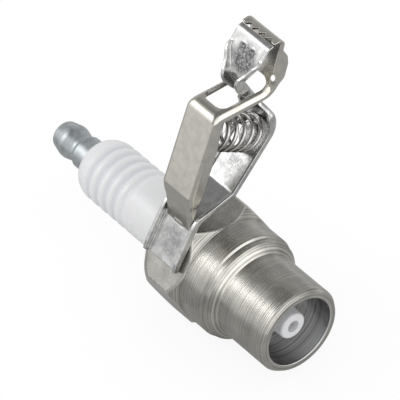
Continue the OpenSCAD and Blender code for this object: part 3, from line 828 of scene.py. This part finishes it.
def pressed_steel(name, tones, roughness, grain, dark_patches=()):
    """Nickel-plated sheet: drawn lines along the strip, a mottled plating, and darker, duller
    patches where they are given.
    """
    s = Shader(name)
    lines = s.noise(s.moved(turn=(-CLIP_TURN, 0, 0), scale=(1, 0.05, 0.3)), 5000, 3, 0.6)
    clouds = s.noise(s.places, 700, 8, 0.6)
    color = s.mix(s.span(clouds, 0.38, 0.62), *tones)
    rough = s.plus(s.span(clouds, 0.62, 0.38, *roughness), s.times(lines, 0.05))
    if dark_patches:
        patch_noise = s.noise(s.moved(turn=(-CLIP_TURN, 0, 0.6), scale=(1, 0.3, 1)), 2600, 5, 0.7)
        reach = 0
        for place, inner, outer, most in dark_patches:
            reach = s.math("MAXIMUM", reach, s.near(CLIP_PLACE @ Vector(place), inner, outer, most))
        # Darker, duller patches; the one under the spring is painted shade
        patch = s.times(reach, s.span(patch_noise, 0.38, 0.56, 0.15, 1))
        color = s.mix(patch, color, DARK_PATCH_TONE)
        rough = s.plus(rough, s.times(patch, 0.12))
    s.set(base_color=color, metallic=1.0, roughness=rough)
    s.bump(s.plus(s.times(lines, 0.5), s.times(clouds, grain)), 0.12, 0.00002)
    return s.material


def spring_wire():
    s = Shader("spring_wire")
    streaks = s.noise(s.places, 1500, 3)
    s.set(
        base_color=s.mix(s.span(streaks, 0.35, 0.65), grey(0.38, 0.02), grey(0.54, 0.02)),
        metallic=1.0,
        roughness=s.span(streaks, 0.3, 0.7, 0.14, 0.24),
    )
    s.bump(streaks, 0.05, 0.00001)
    return s.material


def zinc_plate():
    s = Shader("zinc_plate")
    clouds = s.noise(s.places, 900, 4)
    fine = s.noise(s.places, 5000, 2)
    s.set(
        base_color=s.mix(s.span(clouds, 0.35, 0.65), *ZINC),
        metallic=1.0,
        roughness=s.span(clouds, 0.3, 0.7, 0.38, 0.46),
    )
    s.bump(fine, 0.15, 0.00002)
    return s.material


def glazed_ceramic():
    s = Shader("glazed_ceramic")
    clouds = s.noise(s.places, 180, 3)
    ripple = s.noise(s.places, 420, 2)
    glaze = s.mix(s.span(clouds, 0.3, 0.7), *GLAZE)
    # Painted shade in the grooves: a blue-grey tint where the surface sinks below the ribs
    x, r = s.along_and_out()
    from_middle = s.math("ABSOLUTE", s.math("SUBTRACT", x, RIBS_MIDDLE * MM))
    ribbed = s.math("LESS_THAN", from_middle, RIBS_HALF * MM)
    groove_shade = s.times(ribbed, s.span(r, (CERAMIC_R - 0.05) * MM, (CERAMIC_R - GROOVE_DEPTH) * MM))
    s.set(
        base_color=s.mix(groove_shade, glaze, GROOVE_PAINTED_SHADE),
        roughness=s.span(ripple, 0.3, 0.7, 0.24, 0.34),
        coat_weight=0.2,
        coat_roughness=0.25,
    )
    s.bump(ripple, 0.06, 0.0001)
    return s.material


def plain(name, tones, metallic, rough):
    """A hidden piece's material: two tones in clouds, with a grain."""
    s = Shader(name)
    clouds = s.noise(s.places, 900, 4)
    grain = s.noise(s.places, 5400, 2)
    s.set(base_color=s.mix(s.span(clouds, 0.35, 0.65), *tones), metallic=metallic,
          roughness=s.span(clouds, 0.3, 0.7, rough - 0.06, rough + 0.06))
    s.bump(grain, 0.15, 0.00003)
    return s.material


def dress(obj, material):
    obj.data.materials.clear()
    obj.data.materials.append(material)


# The hidden pieces, as (material, tones, metallic, roughness)
HIDDEN = {
    "inner_gasket": ("copper", COPPER, 1.0, 0.35),
    "electrode_core": ("copper", COPPER, 1.0, 0.35),
    "lower_packing_ring": ("packing_steel", (grey(0.2), grey(0.32)), 1.0, 0.45),
    "upper_packing_ring": ("packing_steel", (grey(0.2), grey(0.32)), 1.0, 0.45),
    "centre_electrode": ("electrode_alloy", (grey(0.16), grey(0.28, 0.03)), 1.0, 0.42),
    "talc_packing": ("talc", (grey(0.62, 0.03), grey(0.74, 0.02)), 0.0, 0.85),
    "lower_glass_seal": ("seal_glass", SEAL_GLASS, 0.0, 0.3),
    "upper_glass_seal": ("seal_glass", SEAL_GLASS, 0.0, 0.3),
    "suppressor": ("carbon", (grey(0.03), grey(0.06)), 0.0, 0.6),
    "weld_nuggets": ("weld", (grey(0.3), grey(0.45, 0.02)), 1.0, 0.5),
}


def dress_hidden():
    made = {}
    for node, values in HIDDEN.items():
        if values[0] not in made:
            made[values[0]] = plain(*values)
        dress(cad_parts[node], made[values[0]])


# The stage


DIFFUSE_LIGHT = 0.8
FLOOR_HALF = 0.6
FLOOR_DROP = 0.00002
FLOOR_WHITE = 0.86
FLOOR_GLOW = 1.04
# What metal mirrors of the floor: a painted shadow, dim right under the object, and bright towards
# one side
FLOOR_TOWARDS = (-0.62, -0.78)
FLOOR_DIM_AT = 0.055
FLOOR_BRIGHT_AT = 0.16
FLOOR_MIRRORED = (0.05, 0.97)
FLOOR_UNDER = 0.3
# What metal mirrors, as (place, brightness): by height from straight down to straight up, and
# by nearness to the room's bright side, a bright strip beside it, a lit edge behind and a light
# in front
MIRRORED_HEIGHT = ((0.0, 0.9), (0.54, 0.85), (0.58, 0.6), (0.63, 0.5), (0.84, 0.52), (0.88, 0.38),
                   (0.91, 0.27), (1.0, 0.24))
BRIGHT_SIDE = (-0.58, -0.6, 0.55)
MIRRORED_SIDE = ((0.0, 0.0), (0.93, 0.0), (0.97, 0.45), (1.0, 0.45))
BRIGHT_STRIP = (-0.58, -0.745, 0.32)
MIRRORED_STRIP = ((0.0, 0.0), (0.975, 0.0), (1.0, 0.6))
BRIGHT_EDGE = (0.8, 0.55, 0.35)
MIRRORED_EDGE = ((0.0, 0.0), (0.93, 0.0), (0.97, 0.5), (1.0, 0.65))
BRIGHT_FRONT = (0.9, -0.15, 0.35)
MIRRORED_FRONT = ((0.0, 0.0), (0.78, 0.0), (0.88, 0.9), (1.0, 1.3))


def add_floor():
    """Paper: white to the camera but for the object's shadow, and to metal bright on one side, with
    a painted shadow right under the object.
    """
    h = FLOOR_HALF
    verts = [(-h, -h, 0), (h, -h, 0), (h, h, 0), (-h, h, 0)]
    floor = new_object("floor", [Vector(v) / MM for v in verts], [(0, 1, 2, 3)])
    floor.location.z = -FLOOR_DROP
    s = Shader("paper")
    s.set(base_color=(0.9, 0.9, 0.9, 1), roughness=0.9)
    path = s.nodes.new("ShaderNodeLightPath")
    parts = s.nodes.new("ShaderNodeSeparateXYZ")
    s.links.new(s.places, parts.inputs[0])
    x, y, z = parts.outputs
    nearness = s.plus(s.times(x, FLOOR_TOWARDS[0]), s.times(y, FLOOR_TOWARDS[1]))
    # The glow that metal mirrors: a painted shadow near the object, brighter further towards one
    # side
    mirrored = s.math("MAXIMUM", s.span(nearness, FLOOR_DIM_AT, FLOOR_BRIGHT_AT, *FLOOR_MIRRORED),
                      s.span(nearness, 0, FLOOR_DIM_AT, FLOOR_UNDER, FLOOR_MIRRORED[0]))
    seen = s.math("MAXIMUM", path.outputs["Is Camera Ray"], path.outputs["Is Transmission Ray"])
    share = s.plus(s.times(seen, FLOOR_WHITE), s.times(path.outputs["Is Glossy Ray"], 0.5))
    white = s.nodes.new("ShaderNodeEmission")
    s.link(s.math("MAXIMUM", s.times(seen, FLOOR_GLOW), mirrored), white.inputs["Strength"])
    mix = s.nodes.new("ShaderNodeMixShader")
    s.link(share, mix.inputs[0])
    s.link(s.surface.outputs[0], mix.inputs[1])
    s.link(white.outputs[0], mix.inputs[2])
    s.link(mix.outputs[0], s.nodes["Material Output"].inputs["Surface"])
    dress(floor, s.material)


def add_world():
    """White where it is seen, plain light, and for metal a room of its own."""
    world = bpy.data.worlds.new("studio")
    bpy.context.scene.world = world
    world.use_nodes = True
    tree = world.node_tree
    new, link = tree.nodes.new, tree.links.new
    path = new("ShaderNodeLightPath")
    places = new("ShaderNodeTexCoord").outputs["Generated"]

    def ramp(value, stops):
        node = new("ShaderNodeValToRGB")
        while len(node.color_ramp.elements) < len(stops):
            node.color_ramp.elements.new(0.5)
        for element, (at, tone) in zip(node.color_ramp.elements, stops):
            element.position = at
            element.color = (tone, tone, tone, 1)
        link(value, node.inputs[0])
        return node.outputs[0]

    def plain_math(operation, a, b, clamp=False):
        node = new("ShaderNodeMath")
        node.operation = operation
        node.use_clamp = clamp
        for value, socket in zip((a, b), node.inputs):
            if isinstance(value, bpy.types.NodeSocket):
                link(value, socket)
            else:
                socket.default_value = value
        return node.outputs[0]

    def towards(x, y, z):
        node = new("ShaderNodeVectorMath")
        node.operation = "DOT_PRODUCT"
        link(places, node.inputs[0])
        node.inputs[1].default_value = Vector((x, y, z)).normalized()
        return plain_math("ADD", plain_math("MULTIPLY", node.outputs["Value"], 0.5), 0.5)

    def background(color, strength):
        node = new("ShaderNodeBackground")
        node.inputs["Strength"].default_value = strength
        if isinstance(color, bpy.types.NodeSocket):
            link(color, node.inputs["Color"])
        else:
            node.inputs["Color"].default_value = color
        return node.outputs[0]

    def either(factor, a, b):
        node = new("ShaderNodeMixShader")
        for socket, value in zip(node.inputs, (factor, a, b)):
            link(value, socket)
        return node.outputs[0]

    height = ramp(towards(0, 0, 1), MIRRORED_HEIGHT)
    side = ramp(towards(*BRIGHT_SIDE), MIRRORED_SIDE)
    side = plain_math("ADD", side, ramp(towards(*BRIGHT_STRIP), MIRRORED_STRIP))
    edge = ramp(towards(*BRIGHT_EDGE), MIRRORED_EDGE)
    front = ramp(towards(*BRIGHT_FRONT), MIRRORED_FRONT)
    room = plain_math("ADD", plain_math("ADD", height, side), plain_math("ADD", edge, front))
    seen = plain_math("ADD", path.outputs["Is Camera Ray"], path.outputs["Is Transmission Ray"],
                      clamp=True)
    white = (1, 1, 1, 1)
    lit = either(path.outputs["Is Glossy Ray"], background(white, DIFFUSE_LIGHT),
                 background(room, 1.0))
    link(either(seen, lit, background(white, 1.0)), tree.nodes["World Output"].inputs["Surface"])


LIGHT_PLACE = Vector((-0.46, -0.46, 0.48))
LIGHT_AIM = Vector((0, 0, 0.02))
LIGHT_SIZE = 0.3
LIGHT_POWER = 0.65


def add_light():
    data = bpy.data.lights.new("key", "AREA")
    data.shape = "RECTANGLE"
    data.size = data.size_y = LIGHT_SIZE
    data.energy = LIGHT_POWER
    lamp = bpy.data.objects.new("key", data)
    turn = (LIGHT_PLACE - LIGHT_AIM).to_track_quat("Z", "Y").to_matrix().to_4x4()
    lamp.matrix_world = Matrix.Translation(LIGHT_PLACE) @ turn
    bpy.context.scene.collection.objects.link(lamp)


# The whole


shell = add_shell()
insulator = add_insulator()
terminal_nut = add_terminal_nut()
fixed_lever = add_fixed_lever()
moving_lever = add_moving_lever()
spring = add_spring()

dress(shell, turned_steel())
dress(insulator, glazed_ceramic())
zinc = zinc_plate()
dress(terminal_nut, zinc)
dress(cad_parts["terminal_stud"], zinc)
dress(fixed_lever, pressed_steel("bright_sheet", BRIGHT_SHEET, (0.13, 0.24), 0.7, dark_patches=DARK_PATCHES_AND_SHADE))
dress(moving_lever, pressed_steel("satin_sheet", SATIN_SHEET, (0.13, 0.19), 0.5))
dress(spring, spring_wire())
dress_hidden()

add_world()
add_floor()
add_light()

bpy.context.scene.view_settings.view_transform = "Standard"
